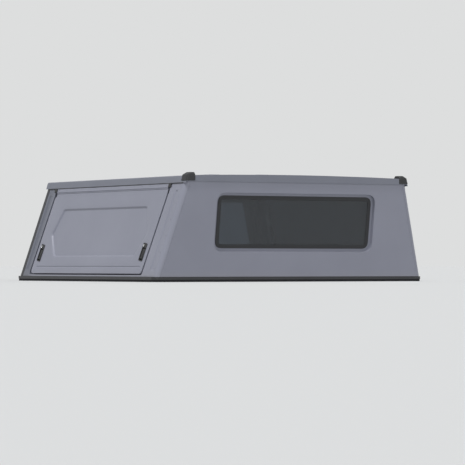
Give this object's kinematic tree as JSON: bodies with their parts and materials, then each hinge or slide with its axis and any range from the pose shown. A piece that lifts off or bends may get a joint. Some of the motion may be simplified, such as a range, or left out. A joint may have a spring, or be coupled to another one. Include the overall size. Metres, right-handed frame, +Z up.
{
  "type": "pickup truck canopy",
  "caption": "Pressed sheet pickup bed canopy with sloping sides, a top-hinged side door on gas struts, lifting latch levers, front window and glazed rear door.",
  "frame": {"origin": "centre of the bounding box in plan, at the underside of the base seal", "axes": "+X towards the front of the vehicle, +Y to its left, +Z up"},
  "size_m": [1.7434, 1.754, 0.594],
  "materials": {
    "body_paint": "textured satin powder coat",
    "black_paint": "satin black",
    "black_plastic": "matte",
    "black_rubber": "matte",
    "tinted_glass": "clear tinted",
    "stainless": "brushed",
    "lock_chrome": "polished",
    "red_lens": "gloss"
  },
  "bodies": {
    "canopy": {"roof_panel": "body_paint", "roof_bows": "body_paint", "front_corner_caps": "black_plastic", "front_corner_posts": "body_paint", "side_panel_right": "body_paint", "side_panel_left": "body_paint", "front_panel": "body_paint", "front_window_seal": "black_rubber", "front_window_glass": "tinted_glass", "rear_corner_posts": "black_paint", "rear_header": "black_paint", "rear_door_frame": "black_paint", "rear_door_seal": "black_rubber", "rear_window_seal": "black_rubber", "rear_window_glass": "tinted_glass", "rear_door_hinges": "stainless", "rear_door_handle": "black_plastic", "rear_struts": "black_paint", "brake_light": "red_lens", "base_rail_right": "black_paint", "base_rail_left": "black_paint", "base_rail_front": "black_paint", "base_seal_right": "black_rubber", "base_seal_left": "black_rubber", "base_seal_front": "black_rubber", "hinge_rail_right": "body_paint", "hinge_rail_left": "body_paint", "hinge_end_caps": "black_plastic", "door_seal_right": "black_rubber", "door_seal_left": "black_rubber", "frame_strut_brackets_right": "stainless", "frame_strut_brackets_left": "stainless", "side_door_left": "body_paint", "door_liner_left": "body_paint", "door_hinge_strip_left": "body_paint", "latch_dishes_left": "black_plastic", "lock_cylinders_left": "lock_chrome", "latch_levers_left": "black_plastic", "door_strut_brackets_left": "stainless", "strut_tube_front_left": "black_paint", "strut_tube_rear_left": "black_paint", "strut_rods_left": "stainless"},
    "side_door": {"side_door_right": "body_paint", "door_liner_right": "body_paint", "door_hinge_strip_right": "body_paint", "latch_dishes_right": "black_plastic", "lock_cylinders_right": "lock_chrome", "door_strut_brackets_right": "stainless"},
    "front_lever": {"latch_lever_front_right": "black_plastic"},
    "rear_lever": {"latch_lever_rear_right": "black_plastic"},
    "front_strut_tube": {"strut_tube_front_right": "black_paint"},
    "rear_strut_tube": {"strut_tube_rear_right": "black_paint"},
    "front_strut_rod": {"strut_rod_front_right": "stainless"},
    "rear_strut_rod": {"strut_rod_rear_right": "stainless"}
  },
  "joints": [
    {"name": "side_door_hinge", "type": "hinge", "parent": "canopy", "child": "side_door", "pos_m": [-0.05636, -0.7254, 0.50904], "axis": [-1, 0, 0], "range_deg": [0, 90]},
    {"name": "front_lever_pivot", "type": "hinge", "parent": "side_door", "child": "front_lever", "pos_m": [0.58446, -0.8191, 0.17681], "axis": [-0.9873, 0.0438, 0.1527], "range_deg": [0, 40]},
    {"name": "rear_lever_pivot", "type": "hinge", "parent": "side_door", "child": "rear_lever", "pos_m": [-0.63754, -0.8191, 0.17681], "axis": [-0.9873, 0.0438, 0.1527], "range_deg": [0, 40]},
    {"name": "front_strut_pivot", "type": "hinge", "parent": "canopy", "child": "front_strut_tube", "pos_m": [0.59859, -0.79322, 0.06028], "axis": [1, 0, 0], "range_deg": [0, 22.44]},
    {"name": "front_strut_slide", "type": "slide", "parent": "front_strut_tube", "child": "front_strut_rod", "axis": [0, 0.2569, 0.9664], "range_m": [0, 0.0991]},
    {"name": "rear_strut_pivot", "type": "hinge", "parent": "canopy", "child": "rear_strut_tube", "pos_m": [-0.60951, -0.79322, 0.06028], "axis": [1, 0, 0], "range_deg": [0, 22.44]},
    {"name": "rear_strut_slide", "type": "slide", "parent": "rear_strut_tube", "child": "rear_strut_rod", "axis": [0, 0.2569, 0.9664], "range_m": [0, 0.0991]}
  ],
  "couplings": [
    {"joint": "front_strut_pivot", "follows": "side_door_hinge", "ratio": 0.24932},
    {"joint": "front_strut_slide", "follows": "side_door_hinge", "m_per_rad": 0.063092},
    {"joint": "rear_strut_pivot", "follows": "side_door_hinge", "ratio": 0.24932},
    {"joint": "rear_strut_slide", "follows": "side_door_hinge", "m_per_rad": 0.063092}
  ]
}
